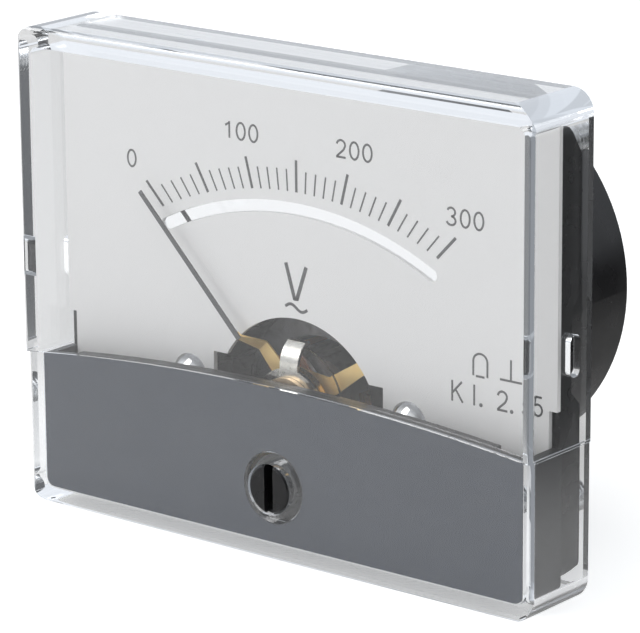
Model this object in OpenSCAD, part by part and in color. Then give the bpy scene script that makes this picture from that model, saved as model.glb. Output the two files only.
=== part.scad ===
// Panel voltmeter, 60 x 47 mm front, moving-coil movement with a 0-300 scale.
// Frame: X to the right and Z up as seen from the front, Y back into the panel.
// Y = 0 is the plane where the bezel rests on the panel. All sizes in mm.

/* [Front cover] */
// width of the clear front
front_w = 60; // [50:0.5:72]
// height of the clear front
front_h = 47; // [42:0.5:56]
// depth of the lower half of the cover, panel to front face
cover_depth = 8.7; // [8.2:0.1:11]
// how far the window stands proud of the lower half
window_raise = 0.4; // [0.2:0.1:0.8]
// how much narrower the lower half is on each side
lower_inset = 0.1; // [0:0.05:0.4]
// front wall of the cover
front_wall = 1.25; // [1:0.05:1.6]
// side walls of the window
side_wall = 1.3; // [1:0.05:1.8]
// top wall of the window
top_wall = 2.1; // [1.4:0.1:2.6]
// bottom wall of the lower half
bottom_wall = 1.4; // [1:0.1:2]
// corner radius of the front outline
corner_r = 2.2; // [1.2:0.1:4]
// rounding of the front edges
edge_r = 0.55; // [0.4:0.05:1.1]
// height of the arched step at its middle
arch_top = -6.65; // [-8:0.05:-6]
// how far the arch falls towards the sides
arch_rise = 1.85; // [0.8:0.05:3]
// length of the latch slot in each side wall
latch_len = 3.95; // [2.5:0.05:6]
// width of the latch slot
latch_w = 1.45; // [1:0.05:2]
// distance of the latch slot from the panel
latch_y = 2.5; // [2:0.1:3]

/* [Zero adjuster] */
// radius of the slotted adjuster
adj_r = 2.42; // [1.8:0.01:3]
// height of the adjuster axis below the middle of the front
adj_z = -16.7; // [-18:0.1:-15.5]
// running clearance around the adjuster
adj_gap = 0.05; // [0.03:0.01:0.1]
// throw of the eccentric pin
adj_throw = 1.4; // [1:0.05:1.6]
// radius of the eccentric pin
adj_pin_r = 0.5; // [0.4:0.05:0.6]
// width of the screwdriver slot
adj_slot = 1.05; // [0.6:0.05:1.4]

/* [Housing] */
// barrel radius at the panel
barrel_r = 18.7; // [18.4:0.05:19.4]
// barrel radius at the rear, smaller by the mould draft
barrel_rear_r = 18.25; // [18:0.05:18.6]
// barrel length behind the panel
barrel_len = 22.7; // [21.5:0.1:30]
// height of the barrel axis
barrel_z = -1.4; // [-2:0.1:0]
// wall of the barrel
barrel_wall = 1.1; // [0.8:0.05:1.3]
// thickness of the barrel floor
floor_t = 1.5; // [1.2:0.1:2]
// distance of the flange front from the panel
flange_y = 3.25; // [3:0.05:3.6]
// mounting stud spacing across
stud_dx = 44; // [42:0.5:46]
// mounting stud spacing up and down
stud_dz = 34; // [32:0.5:36]
// radius of the mounting studs
stud_r = 1.5; // [1.25:0.05:1.75]
// length of the mounting studs behind the panel
stud_len = 8.5; // [7.5:0.1:12]

/* [Terminals] */
// spacing of the two terminal studs
term_dx = 16; // [14:0.5:18]
// radius of the terminal studs
term_r = 2; // [1.5:0.1:2]
// length of the terminal studs behind the barrel
term_len = 8.5; // [8.2:0.1:14]

/* [Dial] */
// thickness of the dial plate
dial_t = 0.5; // [0.4:0.05:0.6]
// radius of the domed opening in the dial
dome_r = 9.8; // [9.2:0.1:10.2]
// height of the centre of the domed opening
dome_z = -11.1; // [-12:0.1:-10.8]
// half width of the square notch under the dome
notch_x = 10.05; // [9.9:0.05:10.3]
// radius of the scale arc at the mirror
mirror_r = 34.55; // [33.5:0.05:35.5]
// height of the centre of the scale arc
scale_z = -25.45; // [-27:0.05:-24]
// width of the slot for the mirror
mirror_w = 1.2; // [0.8:0.05:1.6]
// distance of the dial screws from the middle
screw_x = 13; // [12.6:0.1:13.4]
// height of the dial screws
screw_z = -8.9; // [-9.2:0.1:-8.4]

/* [Movement] */
// height of the pivot axis
pivot_z = -9.7; // [-9.9:0.05:-9.5]
// pointer angle either side of upright
sweep = 44; // [40:1:46]
// pointer length from the pivot
pointer_len = 25.3; // [22:0.1:26]
// pointer width at the tip
pointer_w = 0.4; // [0.2:0.05:0.8]
// distance of the pointer from the panel
pointer_y = 5.35; // [5.2:0.05:5.6]

/* [Hidden] */
$fn = 96;
e = 0.01;
window_depth = cover_depth + window_raise;
half_w = front_w / 2;
half_h = front_h / 2;
low_w = front_w - 2 * lower_inset;
arch_r = (half_w * half_w + arch_rise * arch_rise) / (2 * arch_rise);
win_in_x = half_w - side_wall;
low_in_x = win_in_x - 0.2;
in_top = half_h - top_wall;
in_bottom = -half_h + bottom_wall;
win_in_y = -window_depth + front_wall;
low_in_y = -cover_depth + front_wall;
mask_x = low_in_x - 0.1;
mask_y0 = low_in_y + 0.05;
mask_y1 = mask_y0 + 0.9;
mask_top = arch_top - 0.35;
mask_bottom = in_bottom + 0.1;
mask_corner_r = 0.9;
mask_ledge_y = mask_y0 + 1.7;
mask_wall_y = -flange_y - 0.05;
boss_r = adj_r + 0.98;
boss_y = low_in_y + 1.35;
adj_flange_y = boss_y + 0.1;
adj_pin_y = adj_flange_y + 0.6;
dial_y0 = -flange_y - dial_t;
dial_x = win_in_x - 0.45;
dial_top = in_top - 0.5;
dial_bottom = -13;
dial_side_cut = mask_x - 1.05;
mirror_t = 0.25;
slot_a = sweep + 2;
scale_up = pivot_z - scale_z;
slot_reach = sqrt(pow(mirror_r, 2) - pow(scale_up * sin(slot_a), 2)) - scale_up * cos(slot_a);
flange_x = win_in_x - 0.5;
flange_top = in_top - 0.2;
flange_bottom = -half_h + 2.3;
flange_r0 = -flange_y;
flange_r1 = -0.25;
opening_r = barrel_rear_r - barrel_wall + 0.15;
post_y = 11;
yoke_r = opening_r - (barrel_z - pivot_z) - 0.6;
core_r = yoke_r - 4.4;
wind_t = 0.7;
former_t = 0.3;
former_in = core_r + 0.3;
ring_in = former_in + former_t + wind_t + 0.65;
ring_mid = (ring_in + yoke_r) / 2;
foot_x = ring_mid * sin(22.5);
foot_z = ring_mid * cos(22.5);
frame_x = ring_mid - 0.17;
spacer_r = 0.85;
lever_y = adj_pin_y + 0.4;
lever_t = 0.35;
lever_r = 3.9;
fbridge_y = lever_y + lever_t + 0.25;
fbridge_t = 0.6;
jewel_head_r = 3.1;
spring_w = 0.35;
spring_t = 0.08;
spring_r0 = 1;
spring_turns = 6;
spring_top = frame_x - spacer_r - 0.35;
spring_pitch = (spring_top - spring_r0) / spring_turns;
anchor_z = spring_top + spring_t + 0.02;
arm_bend = 2.6;
arm_turn = 60;
arm_t = 0.38;
arm_z = anchor_z + arm_t - arm_bend * sin(arm_turn);
carrier_y = fbridge_y + fbridge_t + 0.8;
carrier_t = 0.2;
web_r = 5.4;
balance_a = 100;
balance_r = yoke_r + 0.8;
balance_hub = 1.1;
balance_tip = 0.6;
weight_r = 0.75;
pointer_t = 0.15;
pointer_r0 = 8.5;
coil_y0 = carrier_y + 1.05;
core_y0 = coil_y0 + wind_t + former_t + 0.4;
core_y1 = core_y0 + 8.7;
coil_y1 = core_y1 + wind_t + former_t + 0.4;
coil_half = 1.9;
shoe_half = 0.95;
ring_y0 = core_y0 + 0.35;
ring_y1 = core_y1 + 0.05;
rear_boss_y = coil_y1 + 0.7;
rbridge_y = rear_boss_y + 1.1;
rbridge_t = 0.8;
rbridge_half = 1.6;
tip_r = 0.05;
board_t = 1.6;
floor_y = barrel_len - floor_t;
board_y = floor_y - board_t;
diode_x = 5.4;
diode_z = [-11.4, -8];
diode_span = 6.4;
resistor_z = 7.5;
resistor_span = 15;
m4_nut_r = 7 / 2 / cos(30);
nut_y0 = barrel_len + 1.2;
nut_y1 = nut_y0 + 2.9;
term_root_r = term_r + 0.25;
stud_root_r = stud_r + 0.2;
lead_r = 0.4;
lead_bend = 1.5;

// ---- drawing helpers -------------------------------------------------

// round bar along Y from y0 to y1
module rod(r, y0, y1, x = 0, z = 0) {
    translate([x, y0, z])
        rotate([-90, 0, 0])
            cylinder(r = r, h = y1 - y0);
}

// cone along Y from radius ra at y0 to rb at y1
module taper(ra, rb, y0, y1, x = 0, z = 0) {
    translate([x, y0, z])
        rotate([-90, 0, 0])
            cylinder(r1 = ra, r2 = rb, h = y1 - y0);
}

// hexagon prism along Y
module hex(r, y0, y1, x, z) {
    translate([x, y0, z])
        rotate([-90, 0, 0])
            cylinder(r = r, h = y1 - y0, $fn = 6);
}

// box given by two corners
module block(x0, x1, y0, y1, z0, z1) {
    translate([x0, y0, z0])
        cube([x1 - x0, y1 - y0, z1 - z0]);
}

// front-view outline pushed along Y
module slab(y0, y1) {
    translate([0, y1, 0])
        rotate([90, 0, 0])
            linear_extrude(y1 - y0)
                children();
}

// side-view outline (Y, Z) pushed along X, centred
module side_slab(w) {
    translate([-w / 2, 0, 0])
        rotate([90, 0, 90])
            linear_extrude(w)
                children();
}

// rounded rectangle
module soft_rect(w, h, r) {
    square([w - 2 * r, h], center = true);
    square([w, h - 2 * r], center = true);
    for (sx = [-1, 1])
        for (sz = [-1, 1])
            translate([sx * (w / 2 - r), sz * (h / 2 - r)])
                circle(r = r);
}

// rectangle from the panel plane to depth d with its two front corners rounded
module front_soft(w, d, r) {
    translate([-w / 2, -d + r])
        square([w, d - r]);
    translate([-w / 2 + r, -d])
        square([w - 2 * r, d]);
    for (s = [-1, 1])
        translate([s * (w / 2 - r), -d + r])
            circle(r = r);
}

// moulded block with a rounded outline and rounded front edges
module cover_block(w, d) {
    intersection() {
        slab(-d, 0)
            soft_rect(w, front_h, corner_r);
        translate([0, 0, -half_h - 1])
            linear_extrude(front_h + 2)
                front_soft(w, d, edge_r);
        side_slab(front_w + 2)
            rotate([0, 0, 90])
                mirror([0, 1])
                    front_soft(front_h, d, edge_r);
    }
}

// everything below an arch whose crown is at height z
module below_arch(z, y0, y1) {
    rod(arch_r, y0, y1, 0, z - arch_r, $fn = 400);
}

// carry children from pivot coordinates to the part, turned to an angle
module on_pivot(angle) {
    translate([0, 0, pivot_z])
        rotate([0, angle, 0])
            children();
}

// ---- front -----------------------------------------------------------

// clear moulded cover: window, lower half, latch slots, adjuster bearing
module front_cover() {
    color([0.85, 0.88, 0.9, 0.4])
    difference() {
        union() {
            cover_block(low_w, cover_depth);
            difference() {
                cover_block(front_w, window_depth);
                below_arch(arch_top, -window_depth - 1, 1);
            }
        }
        difference() {
            slab(low_in_y, 1)
                translate([0, (in_top + in_bottom) / 2])
                    soft_rect(2 * low_in_x, in_top - in_bottom, 0.8);
            rod(boss_r, low_in_y - 1, boss_y, 0, adj_z);
        }
        difference() {
            slab(win_in_y, 1)
                translate([0, (in_top + in_bottom) / 2])
                    soft_rect(2 * win_in_x, in_top - in_bottom, 0.8);
            below_arch(arch_top - 0.25, -window_depth - 1, 2);
        }
        side_slab(front_w + 4)
            translate([-latch_y, 0]) {
                square([latch_w, latch_len - latch_w], center = true);
                for (s = [-1, 1])
                    translate([0, s * (latch_len - latch_w) / 2])
                        circle(d = latch_w);
            }
        rod(adj_r + adj_gap, -window_depth - 1, boss_y + 1, 0, adj_z);
    }
}

// dark tray behind the lower half of the cover
module lower_mask() {
    color([0.42, 0.44, 0.47])
    difference() {
        union() {
            intersection() {
                slab(mask_y0, 0)
                    translate([0, mask_bottom + half_h])
                        soft_rect(2 * mask_x, 2 * half_h, mask_corner_r);
                union() {
                    block(-mask_x, mask_x, mask_y0, mask_y1, mask_bottom, mask_top + 1);
                    for (s = [-1, 1])
                        block(min(s * mask_x, s * (mask_x - 0.9)),
                              max(s * mask_x, s * (mask_x - 0.9)),
                              mask_y0, mask_wall_y, mask_bottom, mask_top + 1);
                    block(-mask_x, mask_x, mask_y0, mask_wall_y, mask_bottom, mask_bottom + 0.8);
                }
                below_arch(mask_top, mask_y0 - 1, 0);
            }
            intersection() {
                block(-mask_x + 3.6, mask_x - 3.6, mask_y0, mask_ledge_y, mask_top - 4, mask_top + 1);
                difference() {
                    below_arch(mask_top, mask_y0 - 1, 0);
                    below_arch(mask_top - 0.8, mask_y0 - 2, 1);
                }
            }
        }
        rod(boss_r + 0.1, mask_y0 - 1, mask_y1 + 1, 0, adj_z);
    }
}

// slotted screw with an eccentric pin that works the zero lever
module zero_adjuster() {
    color([0.12, 0.12, 0.13]) {
        difference() {
            union() {
                rod(adj_r - 0.25, -cover_depth, adj_flange_y + e, 0, adj_z);
                taper(adj_r - 0.25, adj_r, -cover_depth, -cover_depth + 0.25, 0, adj_z);
                rod(adj_r, -cover_depth + 0.25, adj_flange_y + e, 0, adj_z);
            }
            block(-adj_slot / 2, adj_slot / 2, -cover_depth - 1, -cover_depth + 1.3,
                  adj_z - adj_r - 1, adj_z + adj_r + 1);
        }
        rod(adj_r + 0.65, adj_flange_y, adj_pin_y, 0, adj_z);
        rod(adj_pin_r, adj_pin_y - e, lever_y + lever_t + 0.1, 0, adj_z + adj_throw);
    }
}

// ---- housing ---------------------------------------------------------

// black moulding: flange inside the cover, barrel through the panel
module base_housing() {
    color([0.1, 0.1, 0.1])
    difference() {
        union() {
            difference() {
                union() {
                    flange();
                    taper(barrel_r, barrel_rear_r, flange_r1 - 1, barrel_len, 0, barrel_z);
                }
                rod(opening_r, flange_r0 - 1, floor_y, 0, barrel_z);
            }
            for (s = [-1, 1]) {
                rod(2.4, flange_r0, post_y, s * screw_x, screw_z);
                intersection() {
                    block(min(s * 10, s * 18), max(s * 10, s * 18), flange_r0, post_y,
                          screw_z - 1.2, screw_z + 1.2);
                    rod(opening_r + 0.5, flange_r0 - 1, post_y + 1, 0, barrel_z);
                }
                block(min(s * 8.9, s * 11.4), max(s * 8.9, s * 11.4), 3, post_y,
                      screw_z - 1.2, screw_z + 0.2);
                latch_lug(s);
            }
            intersection() {
                rod(yoke_r + 1.5, 3, post_y, 0, pivot_z);
                rod(opening_r + 0.5, 0, post_y + 1, 0, barrel_z);
            }
        }
        rod(yoke_r + 0.05, 2, ring_y1, 0, pivot_z);
        rod(yoke_r - 0.4, ring_y1 - e, post_y + 1, 0, pivot_z);
        for (s = [-1, 1]) {
            rod(0.85, flange_r0 - 1, flange_r0 + 5.4, s * screw_x, screw_z);
            rod(term_root_r + 0.03, floor_y - 1, barrel_len + 1, s * term_dx / 2, barrel_z);
            latch_relief(s);
            for (t = [-1, 1])
                rod(stud_root_r + 0.02, flange_r0 + 0.85, 1, s * stud_dx / 2, t * stud_dz / 2);
        }
    }
}

// plate that fills the cover, with its rear top and bottom edges sloped
module flange() {
    intersection() {
        slab(flange_r0, flange_r1)
            translate([0, (flange_top + flange_bottom) / 2])
                soft_rect(2 * flange_x, flange_top - flange_bottom, 1.6);
        side_slab(2 * flange_x + 2)
            polygon([[flange_r0, flange_bottom], [flange_r1 - 2.4, flange_bottom],
                     [flange_r1, flange_bottom + 1], [flange_r1, flange_top - 3.5],
                     [flange_r1 - 2.3, flange_top], [flange_r0, flange_top]]);
    }
}

// lug that snaps into the slot of the cover
module latch_lug(s) {
    translate([s * (flange_x + 0.55), 0, 0])
        side_slab(1.3)
            translate([-latch_y, 0]) {
                square([latch_w - 0.25, latch_len - latch_w], center = true);
                for (t = [-1, 1])
                    translate([0, t * (latch_len - latch_w) / 2])
                        circle(d = latch_w - 0.25);
            }
}

// rear relief beside each lug, with sloping ends
module latch_relief(s) {
    translate([s * (flange_x - 1), 0, 0])
        side_slab(4)
            polygon([[-1.55, -3.8], [-1.55, 3.8], [0.2, 5.6], [0.2, -5.6]]);
}

// ---- dial ------------------------------------------------------------

// sheet dial with mirror window, domed opening and screw holes
module dial_plate() {
    color([0.92, 0.92, 0.92])
    difference() {
        slab(dial_y0, dial_y0 + dial_t)
            difference() {
                translate([-dial_x, dial_bottom])
                    square([2 * dial_x, dial_top - dial_bottom]);
                translate([0, dome_z])
                    circle(r = dome_r);
                translate([-notch_x, dial_bottom - 1])
                    square([2 * notch_x, 1 - dial_bottom + dome_z + 5]);
                for (s = [-1, 1]) {
                    translate([s * screw_x, screw_z])
                        circle(r = 1.1);
                    translate([s * (dial_side_cut + 2) - 2, dial_bottom - 1])
                        square([4, 1 - dial_bottom - 5.1]);
                }
            }
        slab(dial_y0 - 1, dial_y0 + dial_t + 1)
            mirror_arc(mirror_w);
    }
}

// arc strip with round ends just beyond both ends of the sweep
module mirror_arc(w) {
    intersection() {
        translate([0, scale_z])
            difference() {
                circle(r = mirror_r + w / 2, $fn = 240);
                circle(r = mirror_r - w / 2, $fn = 240);
            }
        polygon([[0, pivot_z], [-60 * sin(slot_a), pivot_z + 60 * cos(slot_a)], [0, 80],
                 [60 * sin(slot_a), pivot_z + 60 * cos(slot_a)]]);
    }
    for (s = [-1, 1])
        translate([s * slot_reach * sin(slot_a), pivot_z + slot_reach * cos(slot_a)])
            circle(r = w / 2);
}

// polished strip let into the slot of the dial
module mirror_strip() {
    color([0.85, 0.87, 0.9])
    slab(-flange_y - mirror_t, -flange_y)
        mirror_arc(mirror_w - 0.04);
}

// pan-head screw on the dial plate
module dial_screw(x, z) {
    difference() {
        union() {
            intersection() {
                translate([x, dial_y0 + 1.35, z])
                    sphere(r = 2.44);
                rod(2.04, dial_y0 - 3, dial_y0, x, z);
            }
            rod(0.8, dial_y0 - e, dial_y0 + 5.4, x, z);
        }
        block(x - 3, x + 3, dial_y0 - 3, dial_y0 - 0.45, z - 0.28, z + 0.28);
    }
}

// two screws that hold the dial to the housing posts
module dial_screws() {
    color([0.75, 0.75, 0.74])
    for (s = [-1, 1])
        dial_screw(s * screw_x, screw_z);
}

// ---- magnet system ---------------------------------------------------

// soft-iron ring around the coil
module return_ring() {
    color([0.5, 0.5, 0.52])
    difference() {
        rod(yoke_r, ring_y0, ring_y1, 0, pivot_z);
        rod(ring_in, ring_y0 - 1, ring_y1 + 1, 0, pivot_z);
        for (s = [-1, 1]) {
            rod(0.5, ring_y1 - 3, ring_y1 + 1, s * frame_x, pivot_z);
            rod(0.5, ring_y0 - 1, ring_y0 + 3, s * foot_x, pivot_z - foot_z);
        }
    }
}

// round magnet inside the coil
module core_magnet() {
    color([0.35, 0.35, 0.37])
    rod(core_r, core_y0, core_y1, 0, pivot_z);
}

// brass shoes that hold the magnet in the ring
module core_shoes() {
    color([0.8, 0.65, 0.35])
    intersection() {
        difference() {
            rod(ring_in - 0.05, core_y0 + 1, core_y1 - 0.8, 0, pivot_z);
            rod(core_r + 0.05, core_y0, core_y1, 0, pivot_z);
        }
        block(-ring_in, ring_in, core_y0, core_y1, pivot_z - shoe_half, pivot_z + shoe_half);
    }
}

// ---- moving coil -----------------------------------------------------

// aluminium frame of the coil
module coil_former() {
    color([0.8, 0.8, 0.82])
    on_pivot(-sweep)
        difference() {
            block(-coil_half, coil_half, coil_y0 + wind_t, coil_y1 - wind_t,
                  -former_in - former_t, former_in + former_t);
            block(-coil_half - 1, coil_half + 1, coil_y0 + wind_t + former_t,
                  coil_y1 - wind_t - former_t, -former_in, former_in);
        }
}

// copper winding on the frame
module coil_winding() {
    color([0.72, 0.4, 0.2])
    on_pivot(-sweep)
        difference() {
            block(-coil_half + 0.2, coil_half - 0.2, coil_y0, coil_y1,
                  -former_in - former_t - wind_t, former_in + former_t + wind_t);
            block(-coil_half - 1, coil_half + 1, coil_y0 + wind_t, coil_y1 - wind_t,
                  -former_in - former_t, former_in + former_t);
        }
}

// brass cross on the front of the coil: pointer arm and two balance arms
module pointer_carrier() {
    color([0.84, 0.68, 0.36])
    on_pivot(-sweep)
        difference() {
            union() {
                rod(1.3, carrier_y, coil_y0);
                rod(0.85, carrier_y - 0.62, carrier_y + e);
                pointer_arm();
                for (s = [-1, 1]) {
                    rotate([0, s * balance_a, 0])
                        balance_arm();
                    carrier_web(s);
                }
            }
            rod(0.3, carrier_y - 1, coil_y0 - 0.2);
        }
}

// arm that cranks forward past the lever and narrows under the pointer
module pointer_arm() {
    top = -pointer_y + pointer_t;
    intersection() {
        side_slab(2)
            polygon([[carrier_y, 0], [carrier_y, 7.35], [top, 7.75], [top, 9.2], [top + 0.2, 9.2],
                     [top + 0.2, 7.95], [carrier_y + carrier_t, 7.58], [carrier_y + carrier_t, 0]]);
        slab(top - 1, carrier_y + 1)
            polygon([[-0.75, -1], [-0.75, web_r], [-pointer_w / 2 - 0.02, 9.2],
                     [pointer_w / 2 + 0.02, 9.2], [0.75, web_r], [0.75, -1]]);
    }
}

// flat tapered arm
module balance_arm() {
    slab(carrier_y, carrier_y + carrier_t)
        polygon([[-balance_hub, 0], [-balance_tip, balance_r], [balance_tip, balance_r],
                 [balance_hub, 0]]);
}

// flat gusset between the pointer arm and one balance arm
module carrier_web(s) {
    slab(carrier_y, carrier_y + carrier_t)
        polygon([[0, 0], [0, web_r], [s * web_r * sin(balance_a), web_r * cos(balance_a)]]);
}

// flat pointer with a square tip
module pointer() {
    color([0.3, 0.3, 0.32])
    on_pivot(-sweep)
        slab(-pointer_y, -pointer_y + pointer_t)
            polygon([[-0.38, pointer_r0], [-pointer_w / 2 - 0.04, 12], [-pointer_w / 2, pointer_len],
                     [pointer_w / 2, pointer_len], [pointer_w / 2 + 0.04, 12], [0.38, pointer_r0]]);
}

// small round weights behind the balance arms
module balance_weights() {
    color([0.7, 0.7, 0.7])
    on_pivot(-sweep)
        for (s = [-1, 1])
            rotate([0, s * balance_a, 0])
                rod(weight_r, carrier_y + carrier_t, carrier_y + carrier_t + 0.8,
                    0, balance_r - weight_r - 0.05);
}

// steel points, one at each end of the coil
module coil_pivots() {
    color([0.6, 0.6, 0.62]) {
        rod(0.28, carrier_y - 0.75, coil_y0 - 0.25, 0, pivot_z);
        taper(tip_r, 0.28, carrier_y - 1.15, carrier_y - 0.75 + e, 0, pivot_z);
        rod(0.28, coil_y1 + 0.25, rear_boss_y + 1, 0, pivot_z);
        taper(0.28, tip_r, rear_boss_y + 1 - e, rear_boss_y + 1.4, 0, pivot_z);
    }
}

// brass boss on the rear of the coil
module rear_boss() {
    color([0.84, 0.68, 0.36])
    difference() {
        union() {
            rod(1.3, coil_y1, rear_boss_y, 0, pivot_z);
            rod(0.85, rear_boss_y - e, rear_boss_y + 0.45, 0, pivot_z);
        }
        rod(0.3, coil_y1 + 0.2, rear_boss_y + 1, 0, pivot_z);
    }
}

// half turns of flat ribbon on two centres, growing by half a pitch each
module spiral(y) {
    for (k = [0 : 2 * spring_turns - 1])
        half_turn(spring_r0 + k * spring_pitch / 2, k % 2, 180, y);
    half_turn(spring_top, 0, 90, y);
}

// one arc of ribbon; odd arcs are the lower halves
module half_turn(r, odd, a, y) {
    translate([odd * spring_pitch / 2, y + spring_w, pivot_z])
        rotate([90, odd * 180, 0])
            rotate_extrude(angle = a)
                translate([r, 0])
                    square([spring_t, spring_w]);
}

// hairspring between the coil and the zero lever
module front_hairspring() {
    color([0.8, 0.6, 0.3])
    spiral(carrier_y - 0.6);
}

// hairspring between the coil and the rear bridge
module rear_hairspring() {
    color([0.8, 0.6, 0.3])
    spiral(rear_boss_y + 0.05);
}

// ---- bridges ---------------------------------------------------------

// brass bridge carrying the front jewel screw, footed on the ring
module front_bridge() {
    color([0.84, 0.68, 0.36])
    difference() {
        union() {
            rod(lever_r, fbridge_y, fbridge_y + fbridge_t, 0, pivot_z);
            block(-1.6, 1.6, fbridge_y, fbridge_y + fbridge_t, pivot_z - foot_z - 0.95, pivot_z);
            block(-1.6, 1.6, fbridge_y, ring_y0, pivot_z - foot_z - 0.95, pivot_z - foot_z + 0.25);
            block(-foot_x - 0.95, foot_x + 0.95, ring_y0 - 0.7, ring_y0,
                  pivot_z - foot_z - 0.95, pivot_z - foot_z + 0.45);
        }
        rod(0.92, fbridge_y - 1, fbridge_y + fbridge_t + 1, 0, pivot_z);
        for (s = [-1, 1])
            rod(0.5, ring_y0 - 2, ring_y0 + 1, s * foot_x, pivot_z - foot_z);
    }
}

// two screws holding the front bridge to the ring
module bridge_screws() {
    color([0.7, 0.7, 0.7])
    for (s = [-1, 1]) {
        rod(0.47, ring_y0 - 0.75, ring_y0 + 2.6, s * foot_x, pivot_z - foot_z);
        rod(0.9, ring_y0 - 1.3, ring_y0 - 0.7, s * foot_x, pivot_z - foot_z);
    }
}

// flat rear bridge with an anchor for the rear hairspring
module rear_bridge() {
    color([0.84, 0.68, 0.36])
    difference() {
        union() {
            block(-frame_x - 0.75, frame_x + 0.75, rbridge_y, rbridge_y + rbridge_t,
                  pivot_z - rbridge_half, pivot_z + rbridge_half);
            block(-rbridge_half / 2, rbridge_half / 2, rbridge_y, rbridge_y + rbridge_t,
                  pivot_z, pivot_z + anchor_z + 1.1);
            block(-rbridge_half / 2, rbridge_half / 2, rear_boss_y + 0.02, rbridge_y + e,
                  pivot_z + anchor_z, pivot_z + anchor_z + 1.1);
        }
        rod(0.92, rbridge_y - 1, rbridge_y + rbridge_t + 1, 0, pivot_z);
        for (s = [-1, 1])
            rod(0.5, rbridge_y - 1, rbridge_y + rbridge_t + 1, s * frame_x, pivot_z);
    }
}

// tubes between the ring and the rear bridge
module bridge_spacers() {
    color([0.8, 0.8, 0.8])
    for (s = [-1, 1])
        difference() {
            rod(spacer_r, ring_y1, rbridge_y, s * frame_x, pivot_z);
            rod(0.52, ring_y1 - 1, rbridge_y + 1, s * frame_x, pivot_z);
        }
}

// two long screws through the rear bridge and tubes into the ring
module frame_screws() {
    color([0.7, 0.7, 0.7])
    for (s = [-1, 1]) {
        rod(0.47, ring_y1 - 2.7, rbridge_y + rbridge_t + e, s * frame_x, pivot_z);
        difference() {
            rod(1, rbridge_y + rbridge_t, rbridge_y + rbridge_t + 0.7, s * frame_x, pivot_z);
            block(s * frame_x - 2, s * frame_x + 2, rbridge_y + rbridge_t + 0.4,
                  rbridge_y + rbridge_t + 1, pivot_z - 0.15, pivot_z + 0.15);
        }
    }
}

// one jewel screw, cup at y = 0 and head at y = len
module jewel_screw(len, head_r, head_t) {
    difference() {
        union() {
            rod(0.9, 0, len);
            rod(head_r, len - head_t, len);
        }
        taper(0.5, 0.1, -e, 0.5);
        block(-head_r - 1, head_r + 1, len - head_t / 2, len + 1, -0.2, 0.2);
    }
}

// slotted jewel screws: a wide thin head over the lever and a small one at the rear
module jewel_screws() {
    color([0.78, 0.62, 0.4]) {
        translate([0, fbridge_y + fbridge_t + 0.05, pivot_z])
            mirror([0, 1, 0])
                jewel_screw(fbridge_t + 0.05 + 0.25 + lever_t + 0.05 + 0.5, jewel_head_r, 0.5);
        translate([0, rbridge_y - 0.1, pivot_z])
            jewel_screw(rbridge_t + 0.2 + 0.85, 1.7, 0.85);
    }
}

// plated lever: disc on the jewel screw, fork below, bent spring arm above
module zero_lever() {
    color([0.78, 0.78, 0.76])
    difference() {
        union() {
            rod(lever_r, lever_y, lever_y + lever_t, 0, pivot_z);
            block(-1.3, 1.3, lever_y, lever_y + lever_t, adj_z + 0.3, pivot_z - 2);
            lever_arm();
        }
        rod(0.95, lever_y - 1, lever_y + lever_t + 1, 0, pivot_z);
        block(-adj_pin_r - 0.12, adj_pin_r + 0.12, lever_y - 1, lever_y + lever_t + 1,
              adj_z - 1, adj_z + adj_throw + 1);
    }
}

// strip that rises from the disc and curls back over the end of the hairspring
module lever_arm() {
    side_slab(2.1) {
        translate([lever_y, pivot_z + 2.4])
            square([lever_t, arm_z - 2.4]);
        translate([lever_y + arm_bend, pivot_z + arm_z])
            intersection() {
                difference() {
                    circle(r = arm_bend);
                    circle(r = arm_bend - lever_t);
                }
                polygon([[0, 0], [-9, 0], [-9, 9 * tan(arm_turn)]]);
            }
        translate([lever_y + arm_bend * (1 - cos(arm_turn)) - 0.1, pivot_z + anchor_z])
            square([carrier_y - 0.1 - lever_y - arm_bend * (1 - cos(arm_turn)), arm_t]);
    }
}

// ---- circuit ---------------------------------------------------------

// round board on the floor of the barrel, held by the terminals
module circuit_board() {
    color([0.2, 0.42, 0.25])
    difference() {
        rod(opening_r - 0.5, board_y, floor_y, 0, barrel_z);
        for (s = [-1, 1])
            rod(term_root_r + 0.05, board_y - 1, floor_y + 1, s * term_dx / 2, barrel_z);
        for (s = [-1, 1])
            for (x = [diode_x - diode_span / 2, diode_x + diode_span / 2])
                for (z = diode_z)
                    rod(0.4, board_y - 1, floor_y + 1, s * x, z);
        for (s = [-1, 1])
            rod(0.45, board_y - 1, floor_y + 1, s * resistor_span / 2, resistor_z);
    }
}

// axial part lying on the board: body, leads and legs
module axial(r, len, span, x, z, rl) {
    yb = board_y - r - 0.2;
    translate([x - len / 2, yb, z])
        rotate([0, 90, 0])
            cylinder(r = r, h = len);
    translate([x - span / 2, yb, z])
        rotate([0, 90, 0])
            cylinder(r = rl, h = span);
    for (s = [-1, 1]) {
        rod(rl, yb, board_y + board_t - 0.4, x + s * span / 2, z);
        translate([x + s * span / 2, yb, z])
            sphere(r = rl);
    }
}

// four diodes of the bridge rectifier
module rectifier_diodes() {
    color([0.15, 0.15, 0.15])
    for (x = [-diode_x, diode_x])
        for (z = diode_z)
            axial(1.2, 4.2, diode_span, x, z, 0.3);
}

// dropper resistor
module series_resistor() {
    color([0.75, 0.65, 0.5])
    axial(1.9, 9, resistor_span, 0, resistor_z, 0.35);
}

// quarter bend of wire in the upright plane, starting at angle a
module elbow(x, y, z, a) {
    translate([x, y, z])
        rotate([90, 0, 90])
            rotate([0, 0, a])
                rotate_extrude(angle = 90)
                    translate([lead_bend, 0])
                        circle(r = lead_r, $fn = 32);
}

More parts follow.
